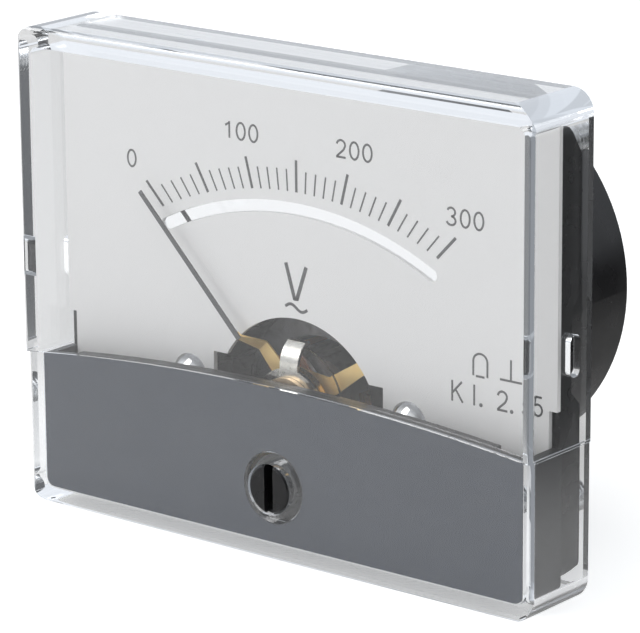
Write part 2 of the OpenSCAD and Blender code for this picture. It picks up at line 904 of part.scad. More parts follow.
// lead from the board at height z0 to the rear bridge at height z1
module lead(x, z0, z1) {
    y1 = rbridge_y + rbridge_t;
    ym = (board_y + y1) / 2;
    rod(lead_r, ym + lead_bend, board_y, x, z0);
    elbow(x, ym + lead_bend, z0 - lead_bend, 90);
    translate([x, ym, z1 + lead_bend])
        cylinder(r = lead_r, h = z0 - z1 - 2 * lead_bend);
    elbow(x, ym - lead_bend, z1 + lead_bend, -90);
    rod(lead_r, y1, ym - lead_bend, x, z1);
}

// insulated leads from the board to the rear bridge and its spring anchor
module movement_leads() {
    color([0.6, 0.15, 0.12]) {
        lead(0, 3, pivot_z + anchor_z + 0.5);
        lead(-0.6 * frame_x, 3, pivot_z + 0.6);
    }
}

// ---- terminals and mounting ------------------------------------------

// brass studs: round head on the board, thick shank as far as the nut, free end
module terminal_studs() {
    color([0.84, 0.68, 0.36])
    for (s = [-1, 1]) {
        rod(3.4, board_y - 0.8, board_y, s * term_dx / 2, barrel_z);
        rod(term_root_r, board_y - e, nut_y1 + 0.3, s * term_dx / 2, barrel_z);
        rod(term_r, nut_y1, barrel_len + term_len - 0.4, s * term_dx / 2, barrel_z);
        taper(term_r, term_r - 0.4, barrel_len + term_len - 0.4,
              barrel_len + term_len, s * term_dx / 2, barrel_z);
    }
}

// tinned tags under the nuts
module solder_tags() {
    color([0.75, 0.75, 0.73])
    for (s = [-1, 1])
        slab(barrel_len, barrel_len + 0.5)
            translate([s * term_dx / 2, barrel_z])
                difference() {
                    union() {
                        circle(r = 4);
                        translate([-1.5, -9])
                            square([3, 9]);
                        translate([0, -9])
                            circle(r = 1.5);
                    }
                    circle(r = term_root_r + 0.1);
                    translate([0, -9])
                        circle(r = 0.7);
                }
}

// plain washers between tag and nut
module terminal_washers() {
    color([0.8, 0.8, 0.78])
    for (s = [-1, 1])
        difference() {
            rod(4, barrel_len + 0.5, nut_y0, s * term_dx / 2, barrel_z);
            rod(term_root_r + 0.1, barrel_len, barrel_len + 2, s * term_dx / 2, barrel_z);
        }
}

// nut that clamps each tag; the rest of the stud takes the user's ring and nut
module terminal_nuts() {
    color([0.84, 0.68, 0.36])
    for (s = [-1, 1])
        difference() {
            intersection() {
                hex(m4_nut_r, nut_y0, nut_y1, s * term_dx / 2, barrel_z);
                nut_corners(s * term_dx / 2);
            }
            rod(term_root_r + 0.04, nut_y0 - 1, nut_y1 + 1, s * term_dx / 2, barrel_z);
        }
}

// turned shape that takes the corners off both faces of a nut
module nut_corners(x) {
    r = m4_nut_r + 0.1;
    taper(r - 0.75, r, nut_y0, nut_y0 + 0.4, x, barrel_z);
    rod(r, nut_y0 + 0.4, nut_y1 - 0.4, x, barrel_z);
    taper(r, r - 0.75, nut_y1 - 0.4, nut_y1, x, barrel_z);
}

// where the four studs stand
module at_studs() {
    for (sx = [-1, 1])
        for (sz = [-1, 1])
            translate([sx * stud_dx / 2, 0, sz * stud_dz / 2])
                children();
}

// threaded studs moulded into the flange by a thicker root
module mounting_studs() {
    color([0.75, 0.75, 0.73])
    at_studs() {
        rod(stud_root_r, flange_r0 + 0.9, -0.1);
        rod(stud_r, -0.2, stud_len - 0.3);
        taper(stud_r, stud_r - 0.3, stud_len - 0.3, stud_len);
    }
}

front_cover();
lower_mask();
zero_adjuster();
base_housing();
dial_plate();
mirror_strip();
dial_screws();
return_ring();
core_magnet();
core_shoes();
coil_former();
coil_winding();
pointer_carrier();
pointer();
balance_weights();
coil_pivots();
rear_boss();
front_hairspring();
rear_hairspring();
front_bridge();
rear_bridge();
bridge_spacers();
bridge_screws();
frame_screws();
jewel_screws();
zero_lever();
circuit_board();
rectifier_diodes();
series_resistor();
movement_leads();
terminal_studs();
solder_tags();
terminal_washers();
terminal_nuts();
mounting_studs();
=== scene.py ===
import math
import bmesh
import bpy
from mathutils import Matrix, Vector


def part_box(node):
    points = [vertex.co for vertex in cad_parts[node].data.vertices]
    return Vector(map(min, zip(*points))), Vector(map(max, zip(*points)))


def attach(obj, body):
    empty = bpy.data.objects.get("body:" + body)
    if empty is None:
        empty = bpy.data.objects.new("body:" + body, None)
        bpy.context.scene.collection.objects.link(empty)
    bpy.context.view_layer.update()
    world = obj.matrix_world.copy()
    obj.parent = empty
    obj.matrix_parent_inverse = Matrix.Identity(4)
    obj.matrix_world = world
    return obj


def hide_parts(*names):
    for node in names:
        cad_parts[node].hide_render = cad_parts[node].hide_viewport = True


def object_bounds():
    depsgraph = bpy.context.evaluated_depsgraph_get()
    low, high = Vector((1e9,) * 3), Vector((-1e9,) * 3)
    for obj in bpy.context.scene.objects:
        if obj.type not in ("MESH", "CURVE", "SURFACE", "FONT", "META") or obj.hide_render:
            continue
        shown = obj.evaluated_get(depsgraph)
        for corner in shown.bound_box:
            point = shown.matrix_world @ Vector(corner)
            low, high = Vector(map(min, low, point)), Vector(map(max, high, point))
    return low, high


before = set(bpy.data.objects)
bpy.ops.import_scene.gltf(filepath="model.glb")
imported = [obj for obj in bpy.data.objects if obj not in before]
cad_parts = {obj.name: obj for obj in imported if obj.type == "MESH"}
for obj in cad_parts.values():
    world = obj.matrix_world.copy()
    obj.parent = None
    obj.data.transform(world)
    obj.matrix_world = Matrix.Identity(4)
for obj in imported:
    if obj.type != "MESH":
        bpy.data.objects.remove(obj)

cad_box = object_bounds()
mm = 0.001


# ---- camera ------------------------------------------------------------
# A long lens to the right of the meter and a little above it, so that the
# front, the top and the right side of the clear cover all show.
camera_azimuth = math.radians(38.869)
camera_elevation = math.radians(15.645)
camera_roll = math.radians(-0.455)
camera_place = Vector((221.453, -275.654, 96.995)) * mm
camera_back = Vector((math.sin(camera_azimuth) * math.cos(camera_elevation),
                      -math.cos(camera_azimuth) * math.cos(camera_elevation),
                      math.sin(camera_elevation)))
camera_level = Vector((math.cos(camera_azimuth), math.sin(camera_azimuth), 0))
camera_plumb = camera_level.cross(-camera_back)
camera_right = camera_level * math.cos(camera_roll) + camera_plumb * math.sin(camera_roll)
camera_up = camera_plumb * math.cos(camera_roll) - camera_level * math.sin(camera_roll)
camera_data = bpy.data.cameras.new("camera")
camera_data.sensor_width = 36.0
camera_data.lens = 222.24
camera_data.clip_start = 0.02
camera = bpy.data.objects.new("camera", camera_data)
camera.matrix_world = (Matrix.Translation(camera_place)
                       @ Matrix((camera_right, camera_up, camera_back)).transposed().to_4x4())
bpy.context.scene.collection.objects.link(camera)
bpy.context.scene.camera = camera
bpy.context.scene.view_settings.view_transform = "Standard"


# ---- studio ------------------------------------------------------------
# White paper below and behind, a big soft lamp high on the left, a wide one
# overhead and a weak one on the right. The room to the right is dark, which
# gives the clear walls their edges.
def feed(tree, value, socket):
    """Sets a socket to a number or a colour, or links another socket to it."""
    if isinstance(value, (int, float)):
        socket.default_value = value
    elif isinstance(value, tuple):
        socket.default_value = (*value, 1)
    else:
        tree.links.new(value, socket)


def ramp(tree, value, low, high, to_low=0.0, to_high=1.0):
    """A smooth step from to_low at low to to_high at high."""
    step = tree.nodes.new("ShaderNodeMapRange")
    step.interpolation_type = "SMOOTHSTEP"
    for label, number in (("Value", value), ("From Min", low), ("From Max", high),
                          ("To Min", to_low), ("To Max", to_high)):
        feed(tree, number, step.inputs[label])
    return step.outputs["Result"]


def combine(tree, operation, *values):
    """One math node; each of its values is a socket or a number."""
    math_node = tree.nodes.new("ShaderNodeMath")
    math_node.operation = operation
    for index, value in enumerate(values):
        feed(tree, value, math_node.inputs[index])
    return math_node.outputs[0]


def blend(tree, mask, a, b, kind="RGBA"):
    """A mix from a to b with a mask: of two colours, or of two numbers with FLOAT."""
    mix = tree.nodes.new("ShaderNodeMix")
    mix.data_type = kind
    for label, value in (("Factor", mask), ("A", a), ("B", b)):
        feed(tree, value, mix.inputs[label])
    return mix.outputs["Result"]


def axes_of(tree, vector):
    """The X, Y and Z of a vector, as outputs of these names."""
    split = tree.nodes.new("ShaderNodeSeparateXYZ")
    tree.links.new(vector, split.inputs[0])
    return split.outputs


def finish_of(name, color, roughness, metallic=0.0):
    """A new material and its shader, with the plain values set on the shader."""
    material = bpy.data.materials.new(name)
    material.use_nodes = True
    shader = material.node_tree.nodes["Principled BSDF"]
    shader.inputs["Base Color"].default_value = (*color, 1)
    shader.inputs["Roughness"].default_value = roughness
    shader.inputs["Metallic"].default_value = metallic
    return material, material.node_tree, shader


# the room: lit walls, and a dark one that clear plastic shows a little lighter
dark_side = Vector((0.93, -0.3, -0.05)).normalized()
lit_wall, dark_wall, seen_through = 0.95, 0.2, 0.3
room_fill = 0.5
world = bpy.data.worlds.new("studio")
bpy.context.scene.world = world
world.use_nodes = True
tree = world.node_tree
tree.nodes.clear()
room_light = tree.nodes.new("ShaderNodeBackground")
tree.links.new(room_light.outputs[0], tree.nodes.new("ShaderNodeOutputWorld").inputs[0])
ray = tree.nodes.new("ShaderNodeLightPath").outputs
toward_dark = tree.nodes.new("ShaderNodeVectorMath")
toward_dark.operation = "DOT_PRODUCT"
toward_dark.inputs[1].default_value = dark_side
tree.links.new(tree.nodes.new("ShaderNodeTexCoord").outputs["Generated"], toward_dark.inputs[0])
darkest = combine(tree, "MULTIPLY_ADD", ray["Is Transmission Ray"], seen_through, dark_wall)
room = ramp(tree, toward_dark.outputs["Value"], 0.3, 0.8, lit_wall, darkest)
seen_in = combine(tree, "MAXIMUM", ray["Is Glossy Ray"], ray["Is Transmission Ray"])
tree.links.new(blend(tree, seen_in, (1, 1, 1), (0.9, 0.94, 1)), room_light.inputs["Color"])
indirect = blend(tree, seen_in, room_fill, room, "FLOAT")
tree.links.new(blend(tree, ray["Is Camera Ray"], indirect, 1.0, "FLOAT"),
               room_light.inputs["Strength"])


def soft_lamp(name, place, width, height, power, color=(1, 1, 1)):
    """A rectangular lamp at a place, turned to face the meter."""
    data = bpy.data.lights.new(name, "AREA")
    data.shape = "RECTANGLE"
    data.size = width
    data.size_y = height
    data.energy = power
    data.color = color
    lamp = bpy.data.objects.new(name, data)
    lamp.location = place
    lamp.rotation_euler = (-Vector(place)).to_track_quat("-Z", "Y").to_euler()
    lamp.visible_camera = False
    bpy.context.scene.collection.objects.link(lamp)


soft_lamp("key_lamp", (-0.34, -0.46, 0.42), width=0.34, height=0.42, power=1.68)
soft_lamp("top_lamp", (0.02, 0.05, 0.75), width=0.7, height=0.5, power=1.0)
soft_lamp("right_lamp", (0.55, -0.2, 0.25), width=0.3, height=0.4, power=0.12,
          color=(0.92, 0.95, 1))

# the paper: it glows where the camera or clear plastic sees it, most in front
# of the meter, and metal and gloss see it dark on the right
floor_low = cad_box[0].z
floor_half = 6.0
floor_mesh = bpy.data.meshes.new("floor")
floor_mesh.from_pydata([(-floor_half, -floor_half, floor_low), (floor_half, -floor_half, floor_low),
                        (floor_half, floor_half, floor_low), (-floor_half, floor_half, floor_low)],
                       [], [(0, 1, 2, 3)])
floor = bpy.data.objects.new("floor", floor_mesh)
bpy.context.scene.collection.objects.link(floor)
white_paper, dark_paper = (0.8, 0.8, 0.8), (0.05, 0.05, 0.05)
camera_glow, front_glow, rear_glow = 0.62, 0.42, 0.1
floor_paper, tree, paper = finish_of("floor_paper", white_paper, 0.9)
paper.inputs["Specular IOR Level"].default_value = 0.1
paper.inputs["Emission Color"].default_value = (0.96, 0.98, 1, 1)
ray = tree.nodes.new("ShaderNodeLightPath").outputs
floor_place = axes_of(tree, tree.nodes.new("ShaderNodeNewGeometry").outputs["Position"])
shade = combine(tree, "MULTIPLY", ramp(tree, floor_place["X"], 35 * mm, 70 * mm),
                ray["Is Glossy Ray"])
tree.links.new(blend(tree, shade, white_paper, dark_paper), paper.inputs["Base Color"])
through_glow = ramp(tree, floor_place["Y"], 12 * mm, 40 * mm, front_glow, rear_glow)
floor_glow = combine(tree, "MULTIPLY_ADD", ray["Is Transmission Ray"], through_glow,
                     combine(tree, "MULTIPLY", ray["Is Camera Ray"], camera_glow))
tree.links.new(floor_glow, paper.inputs["Emission Strength"])
floor_mesh.materials.append(floor_paper)


# ---- front cover -------------------------------------------------------
# One injection moulding in clear polystyrene that snaps over the housing. Its
# polished faces have fine handling scratches. Its thick walls carry a faint cool
# painted glow, an emission that stands in for light turned many times inside.
def new_group(name, inputs, outputs):
    """An empty shader group with float inputs and the outputs asked for."""
    tree = bpy.data.node_groups.new(name, "ShaderNodeTree")
    for label, value in inputs:
        socket = tree.interface.new_socket(label, in_out="INPUT", socket_type="NodeSocketFloat")
        socket.default_value = value
    for label in outputs:
        tree.interface.new_socket(label, in_out="OUTPUT", socket_type="NodeSocketFloat")
    return tree, tree.nodes.new("NodeGroupInput"), tree.nodes.new("NodeGroupOutput")


def object_mm(tree):
    """The object's own coordinates in millimetres."""
    scale = tree.nodes.new("ShaderNodeVectorMath")
    scale.operation = "SCALE"
    scale.inputs["Scale"].default_value = 1 / mm
    tree.links.new(tree.nodes.new("ShaderNodeTexCoord").outputs["Object"], scale.inputs[0])
    return scale.outputs[0]


def noise_at(tree, vector, scale, detail):
    """A noise texture, at a scale per millimetre."""
    noise = tree.nodes.new("ShaderNodeTexNoise")
    noise.inputs["Detail"].default_value = detail
    tree.links.new(vector, noise.inputs["Vector"])
    feed(tree, scale, noise.inputs["Scale"])
    return noise.outputs["Fac"]


def effect(tree, group, **values):
    """The outputs of a shared group placed in a material, with its own values."""
    node = tree.nodes.new("ShaderNodeGroup")
    node.node_tree = group
    for label, value in values.items():
        node.inputs[label].default_value = value
    return node.outputs


def dress(node, material):
    """Puts a material on a carried-over node."""
    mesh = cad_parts[node].data
    mesh.materials.clear()
    mesh.materials.append(material)


# hairline scratches: thin level lines of one stretched noise, in patches
scratch_group, scratch_in, scratch_out = new_group(
    "hairline_scratches", [("Density", 0.5)], ["Mask"])
lay = scratch_group.nodes.new("ShaderNodeMapping")
lay.inputs["Rotation"].default_value = (0.5, 0.9, 1.3)
lay.inputs["Scale"].default_value = (0.05, 0.8, 0.8)
scratch_group.links.new(object_mm(scratch_group), lay.inputs["Vector"])
band = noise_at(scratch_group, lay.outputs[0], 1.0, 1.0)
near = combine(scratch_group, "ABSOLUTE", combine(scratch_group, "SUBTRACT", band, 0.5))
line = ramp(scratch_group, near, 0.0, 0.004, 1.0, 0.0)
handled = noise_at(scratch_group, object_mm(scratch_group), 0.13, 0.0)
scratches = combine(scratch_group, "MULTIPLY", line, ramp(scratch_group, handled, 0.52, 0.66))
scratch_group.links.new(
    combine(scratch_group, "MULTIPLY", scratches, scratch_in.outputs["Density"]),
    scratch_out.inputs["Mask"])

# lamp light goes straight through but for a trace; level faces get the most painted glow
polystyrene_ior = 1.59
lamp_share = 0.93
clear, tree, shader = finish_of("clear_polystyrene", (0.985, 0.99, 0.995), 0.0)
shader.inputs["IOR"].default_value = polystyrene_ior
shader.inputs["Transmission Weight"].default_value = 1.0
# the cool colour of the painted glow
shader.inputs["Emission Color"].default_value = (0.86, 0.92, 1, 1)
tree.links.new(effect(tree, scratch_group, Density=0.15)["Mask"], shader.inputs["Roughness"])
ray = tree.nodes.new("ShaderNodeLightPath").outputs
from_lamp = combine(tree, "MAXIMUM", ray["Is Shadow Ray"], ray["Is Diffuse Ray"])
tree.links.new(combine(tree, "MULTIPLY_ADD", from_lamp, -lamp_share, 1.0),
               shader.inputs["Alpha"])
# painted glow: the walls emit a faint light once a ray has turned several times, more on level
# faces
wall_normal = axes_of(tree, tree.nodes.new("ShaderNodeNewGeometry").outputs["Normal"])
painted_glow_level = ramp(tree, combine(tree, "ABSOLUTE", wall_normal["Z"]), 0.2, 0.8, 0.12, 0.3)
painted_glow_depth = ramp(tree, ray["Glossy Depth"], 1.5, 4.0)
tree.links.new(combine(tree, "MULTIPLY", painted_glow_depth, painted_glow_level), shader.inputs["Emission Strength"])
dress("front_cover", clear)


# ---- lower mask --------------------------------------------------------
# A dark moulding behind the lower half of the cover, slate-grey on the faces
# turned to the front and near black on the others. It hides the zero lever and
# the dial's foot; a shallow ledge follows the arch of the cover.

# dust: small round specks where fine noise peaks, more of them in some places
dust_group, dust_in, dust_out = new_group(
    "dust_specks", [("Amount", 0.3), ("Scale", 1.0)], ["Mask"])
specks = dust_group.nodes.new("ShaderNodeTexVoronoi")
dust_group.links.new(object_mm(dust_group), specks.inputs["Vector"])
dust_group.links.new(dust_in.outputs["Scale"], specks.inputs["Scale"])
settled = noise_at(dust_group, object_mm(dust_group), 0.5, 0.0)
speck_size = combine(dust_group, "MULTIPLY_ADD", settled, 0.2, -0.06)
speck = ramp(dust_group, combine(dust_group, "SUBTRACT", speck_size, specks.outputs["Distance"]),
             -0.01, 0.01)
dust_group.links.new(combine(dust_group, "MULTIPLY", speck, dust_in.outputs["Amount"]),
                     dust_out.inputs["Mask"])

# grain: a fine relief, and broad patches of uneven gloss
grain_group, grain_in, grain_out = new_group(
    "moulded_grain", [("Scale", 8.0)], ["Height", "Patch"])
grain_group.links.new(
    noise_at(grain_group, object_mm(grain_group), grain_in.outputs["Scale"], 3.0),
    grain_out.inputs["Height"])
grain_group.links.new(noise_at(grain_group, object_mm(grain_group), 0.25, 3.0),
                      grain_out.inputs["Patch"])

# edge wear: how far a rounded normal leaves the true one
wear_group, wear_in, wear_out = new_group(
    "edge_wear", [("Radius", 0.0001), ("Amount", 1.0)], ["Mask"])
rounded = wear_group.nodes.new("ShaderNodeBevel")
rounded.samples = 4
wear_group.links.new(wear_in.outputs["Radius"], rounded.inputs["Radius"])
leaning = wear_group.nodes.new("ShaderNodeVectorMath")
leaning.operation = "DOT_PRODUCT"
wear_group.links.new(rounded.outputs[0], leaning.inputs[0])
wear_group.links.new(wear_group.nodes.new("ShaderNodeNewGeometry").outputs["Normal"],
                     leaning.inputs[1])
worn_edge = ramp(wear_group, leaning.outputs["Value"], 0.8, 0.99, 1.0, 0.0)
broken = ramp(wear_group, noise_at(wear_group, object_mm(wear_group), 1.6, 2.0), 0.4, 0.62)
rubbing = combine(wear_group, "MULTIPLY", worn_edge, broken)
wear_group.links.new(combine(wear_group, "MULTIPLY", rubbing, wear_in.outputs["Amount"]),
                     wear_out.inputs["Mask"])


def tint(tree, shader, mask, color, worn):
    """Base colour that goes from color to worn with a mask."""
    tree.links.new(blend(tree, mask, color, worn), shader.inputs["Base Color"])


def moulded_plastic(name, color, worn, roughness, dust, rubbed=0.0):
    """Moulded plastic: uneven gloss, a little dust and, where it is handled, pale edges."""
    material, tree, shader = finish_of(name, color, roughness)
    mask = effect(tree, dust_group, Amount=dust, Scale=0.7)["Mask"]
    if rubbed:
        edges = effect(tree, wear_group, Radius=0.12 * mm, Amount=rubbed)
        mask = combine(tree, "MAXIMUM", edges["Mask"], mask)
    tint(tree, shader, mask, color, worn)
    gloss = ramp(tree, effect(tree, grain_group, Scale=2.0)["Patch"], 0.35, 0.7,
                 roughness - 0.04, roughness + 0.06)
    tree.links.new(combine(tree, "MULTIPLY_ADD", mask, 0.2, gloss), shader.inputs["Roughness"])
    return material


sideways_black = (0.016, 0.017, 0.019)
slate = moulded_plastic("slate_plastic", color=(0.051, 0.062, 0.084), worn=(0.3, 0.31, 0.33),
                        roughness=0.4, dust=0.15)
tree = slate.node_tree
shader = tree.nodes["Principled BSDF"]
# the colour is slate on faces turned to the front and near black on faces turned elsewhere
forward_slate = shader.inputs["Base Color"].links[0].from_socket
facing = axes_of(tree, tree.nodes.new("ShaderNodeTexCoord").outputs["Normal"])
tint(tree, shader, ramp(tree, facing["Y"], -0.8, -0.4), forward_slate, sideways_black)
dress("lower_mask", slate)


# ---- zero adjuster -----------------------------------------------------
# A black slotted screw of hard plastic, snapped into the bearing of the cover.
# Its slot edges are rubbed by screwdrivers.
dress("zero_adjuster", moulded_plastic("adjuster_plastic", color=(0.006, 0.006, 0.007),
                                       worn=(0.16, 0.16, 0.16), roughness=0.24, dust=0.1,
                                       rubbed=0.4))


# ---- base housing ------------------------------------------------------
# The black moulding that carries everything: a flange that the cover snaps
# over, and the barrel that goes through the panel.
black_moulding = moulded_plastic("black_moulding", color=(0.009, 0.009, 0.01),
                                 worn=(0.16, 0.16, 0.17), roughness=0.3, dust=0.45)
black_moulding.node_tree.nodes["Principled BSDF"].inputs["Specular IOR Level"].default_value = 0.3
dress("base_housing", black_moulding)


# ---- dial --------------------------------------------------------------
# Thin aluminium sheet, sprayed matt white and screen printed, screwed to two
# posts of the housing. A slot in it shows the mirror strip behind.
matt_white, greyed_white = (0.895, 0.895, 0.895), (0.79, 0.79, 0.8)
dial_white, tree, shader = finish_of("dial_white", matt_white, 0.55)
dial_specks = effect(tree, dust_group, Amount=0.15, Scale=0.5)["Mask"]
dial_cloud = effect(tree, grain_group, Scale=14.0)["Patch"]
tint(tree, shader, combine(tree, "MULTIPLY_ADD", dial_cloud, 0.1, dial_specks),
     matt_white, greyed_white)
dress("dial_plate", dial_white)


# ---- scale marks -------------------------------------------------------
# Thirty equal parts over the pointer's swing, screen printed. Every fifth
# mark is long; the feet stand on an arc just above the mirror slot.
dial_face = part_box("dial_plate")[0].y
ink_front = dial_face - 0.015 * mm
ink_back = dial_face + 0.01 * mm


def skin(mesh, rows, closed=False):
    """Faces between rows of corners: capped at both ends, or closed to a ring."""
    count = len(rows[0])
    for a, b in zip(rows, rows[1:] + rows[:1] if closed else rows[1:]):
        for k in range(count):
            mesh.faces.new((a[k], b[k], b[(k + 1) % count], a[(k + 1) % count]))
    if not closed:
        mesh.faces.new(rows[0])
        mesh.faces.new(rows[-1][::-1])


def stroke(mesh, path, width, closed=False):
    """A flat printed line of one width along a path of (x, z) points in millimetres."""
    points = [Vector((x, z)) for x, z in path]
    count = len(points)
    rows = []
    for i, point in enumerate(points):
        before = points[i - 1] if i or closed else point
        after = points[(i + 1) % count] if i < count - 1 or closed else point
        along = (after - before).normalized()
        side = Vector((-along.y, along.x)) * width / 2
        rows.append([mesh.verts.new((p.x * mm, y, p.y * mm))
                     for p, y in ((point + side, ink_front), (point - side, ink_front),
                                  (point - side, ink_back), (point + side, ink_back))])
    skin(mesh, rows, closed)


def add_piece(name, mesh, material):
    """Turns a drawn mesh into a piece of the scene."""
    bmesh.ops.recalc_face_normals(mesh, faces=mesh.faces)
    data = bpy.data.meshes.new(name)
    mesh.to_mesh(data)
    mesh.free()
    data.materials.append(material)
    piece = bpy.data.objects.new(name, data)
    bpy.context.scene.collection.objects.link(piece)
    return piece


def printed(name, mesh, material):
    """A piece of print, which rides with the dial."""
    piece = add_piece(name, mesh, material)
    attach(piece, "case")


ink_grey, thin_ink = (0.1, 0.1, 0.104), (0.19, 0.19, 0.195)
ink, tree, shader = finish_of("scale_ink", ink_grey, 0.55)
ink_cover = effect(tree, grain_group, Scale=16.0)["Height"]
tint(tree, shader, ramp(tree, ink_cover, 0.45, 0.75, 0.0, 0.5), ink_grey, thin_ink)

scale_start, scale_end = -44.0, 43.76
scale_parts = 30
pivot_height = -9.7
foot_radius, foot_centre = 37.1, -26.4
long_mark, short_mark = 3.0, 2.05
long_line, short_line = 0.28, 0.16
print_shift_x, print_shift_z = 0.17, 0.02


def arc_reach(angle, radius, centre):
    """Distance from the pivot, along a direction, to an arc centred lower down."""
    drop = centre - pivot_height
    lean = drop * math.cos(angle)
    return lean + math.sqrt(lean * lean - drop * drop + radius * radius)


mesh = bmesh.new()
for part in range(scale_parts + 1):
    turn = math.radians(scale_start + (scale_end - scale_start) * part / scale_parts)
    length, width = (long_mark, long_line) if part % 5 == 0 else (short_mark, short_line)
    foot = arc_reach(turn, foot_radius, foot_centre)
    stroke(mesh, [(print_shift_x + math.sin(turn) * r,
                   print_shift_z + pivot_height + math.cos(turn) * r)
                  for r in (foot, foot + length)], width)
printed("scale_marks", mesh, ink)


# ---- scale numbers and signs -------------------------------------------
# Thin upright figures over every hundred, a volt sign with the wave of
# alternating current, and the usual small signs of class and position.
def arc(x, z, rx, rz, start, end, steps=14):
    """Points along an elliptical arc, angles in degrees from +X."""
    turns = [math.radians(start + (end - start) * i / steps) for i in range(steps + 1)]
    return [(x + rx * math.cos(t), z + rz * math.sin(t)) for t in turns]


# each figure as its pen strokes, in shares of the height, and how wide they are
FIGURES = {
    "0": [arc(0.28, 0.5, 0.225, 0.455, 90, 449, 30)],
    "1": [[(0.12, 0.72), (0.24, 0.8), (0.34, 0.95), (0.34, 0.05)]],
    "2": [arc(0.27, 0.7, 0.215, 0.255, 172, -12, 14)
          + [(0.4, 0.45), (0.2, 0.24), (0.09, 0.12), (0.06, 0.05)],
          [(0.02, 0.05), (0.51, 0.05)]],
    "3": [arc(0.26, 0.73, 0.195, 0.225, 160, -90, 14),
          arc(0.255, 0.275, 0.225, 0.23, 90, -165, 16)],
    "5": [[(0.47, 0.945), (0.13, 0.945)], [(0.14, 0.945), (0.08, 0.5)],
          arc(0.255, 0.32, 0.225, 0.27, 132, -160, 18)],
}
figure_share = 0.56
figure_pitch = 1.5


def write_figures(mesh, text, x, foot, height, width, line):
    """Figures drawn with one pen width, centred on x with their foot at z = foot."""
    start = x - figure_pitch * len(text) / 2 + (figure_pitch - figure_share * width * height) / 2
    for place, sign in enumerate(text):
        for path in FIGURES[sign]:
            ring = sign == "0"
            points = [(start + figure_pitch * place + u * width * height, foot + v * height)
                      for u, v in path]
            stroke(mesh, points[:-1] if ring else points, line, closed=ring)


figure_height, figure_width, figure_line = 1.74, 1.27, 0.2
# each number with the x and z of its middle
number_places = (("0", -19.83, 11.1), ("100", -6.4, 15.52),
                 ("200", 6.88, 15.55), ("300", 19.32, 11.15))
mesh = bmesh.new()
for text, x, z in number_places:
    write_figures(mesh, text, x, z - figure_height / 2, figure_height, figure_width, figure_line)
printed("scale_numbers", mesh, ink)

volt_line, wave_line, sign_line = 0.4, 0.28, 0.2
mesh = bmesh.new()
# volt sign and wave
stroke(mesh, [(-1.2, 3.9), (-0.18, 0.52)], volt_line)
stroke(mesh, [(1.2, 3.8), (0.06, 0.52)], volt_line)
stroke(mesh, [(-0.3, 0.57), (0.18, 0.57)], wave_line)
stroke(mesh, [(1.3 * t, -0.26 - 0.3 * math.sin(math.pi * t))
              for t in [i / 12 - 1 for i in range(25)]], wave_line)
# arched sign of the movement, and the sign for a vertical panel
stroke(mesh, [(20.26, -3.06)] + arc(21.04, -1.7, 0.78, 0.74, 180, 0) + [(21.82, -3.06)], sign_line)
stroke(mesh, [(20.55, -3.08), (21.5, -3.08)], sign_line)
stroke(mesh, [(24.4, -0.95), (24.4, -2.8)], sign_line)
stroke(mesh, [(23.2, -2.9), (25.6, -2.9)], sign_line)
# class: K, l, a stop, 2, a stop, 5
class_foot, class_height, class_line = -5.85, 1.93, 0.21
class_top = class_foot + class_height
stroke(mesh, [(17.92, class_foot), (17.92, class_top)], sign_line)
stroke(mesh, [(19.0, class_top), (17.97, class_foot + 0.8)], sign_line)
stroke(mesh, [(18.3, class_foot + 1.12), (19.1, class_foot)], sign_line)
stroke(mesh, [(20.37, class_foot), (20.37, class_top)], sign_line)
for x in (21.12, 24.5):
    stroke(mesh, arc(x, class_foot + 0.15, 0.1, 0.1, 0, 330, 11), 0.18, closed=True)
write_figures(mesh, "2", 23.5, class_foot, class_height, 1.2, class_line)
write_figures(mesh, "5", 26.2, class_foot, class_height, 1.08, class_line)
printed("dial_signs", mesh, ink)


# ---- mirror strip ------------------------------------------------------
# A polished strip behind the slot in the dial. The reader lines the pointer
# up with its own image in it.
polished, hazed = 0.03, 0.09
silvered, tree, shader = finish_of("silvered_strip", (0.86, 0.86, 0.865), polished, 1.0)
haze = effect(tree, grain_group, Scale=3.0)["Patch"]
tree.links.new(ramp(tree, haze, 0.3, 0.8, polished, hazed), shader.inputs["Roughness"])
dress("mirror_strip", silvered)


# ---- plated screws and lever -------------------------------------------
# Bright nickel on steel: the two domed dial screws, and the lever that the
# zero adjuster swings, stamped from strip with its arm bent back.
rolled_group, rolled_in, rolled_out = new_group(
    "rolled_grain", [("Along", 0.4), ("Across", 12.0)], ["Height"])
stretch = rolled_group.nodes.new("ShaderNodeCombineXYZ")
for axis, way in (("X", "Across"), ("Y", "Across"), ("Z", "Along")):
    rolled_group.links.new(rolled_in.outputs[way], stretch.inputs[axis])
stretched = rolled_group.nodes.new("ShaderNodeVectorMath")
stretched.operation = "MULTIPLY"
rolled_group.links.new(object_mm(rolled_group), stretched.inputs[0])
rolled_group.links.new(stretch.outputs[0], stretched.inputs[1])
rolled_group.links.new(noise_at(rolled_group, stretched.outputs[0], 1.0, 3.0),
                       rolled_out.inputs["Height"])


def raise_by(tree, shader, height, distance):
    """Feeds a height into the shader's normal; distance is in metres."""
    bump = tree.nodes.new("ShaderNodeBump")
    bump.inputs["Distance"].default_value = distance
    tree.links.new(height, bump.inputs["Height"])
    tree.links.new(bump.outputs[0], shader.inputs["Normal"])


def worked_metal(name, color, dull, roughness, along, across, depth=0.0):
    """Sheet or turned metal: grain one way, its depth in millimetres, and patchy tarnish."""
    material, tree, shader = finish_of(name, color, roughness, 1.0)
    dulled = ramp(tree, effect(tree, grain_group, Scale=1.2)["Height"], 0.45, 0.72)
    tint(tree, shader, dulled, color, dull)
    tree.links.new(combine(tree, "MULTIPLY_ADD", dulled, 0.1, roughness),
                   shader.inputs["Roughness"])
    if depth:
        grain = effect(tree, rolled_group, Along=along, Across=across)
        raise_by(tree, shader, grain["Height"], depth * mm)
    return material


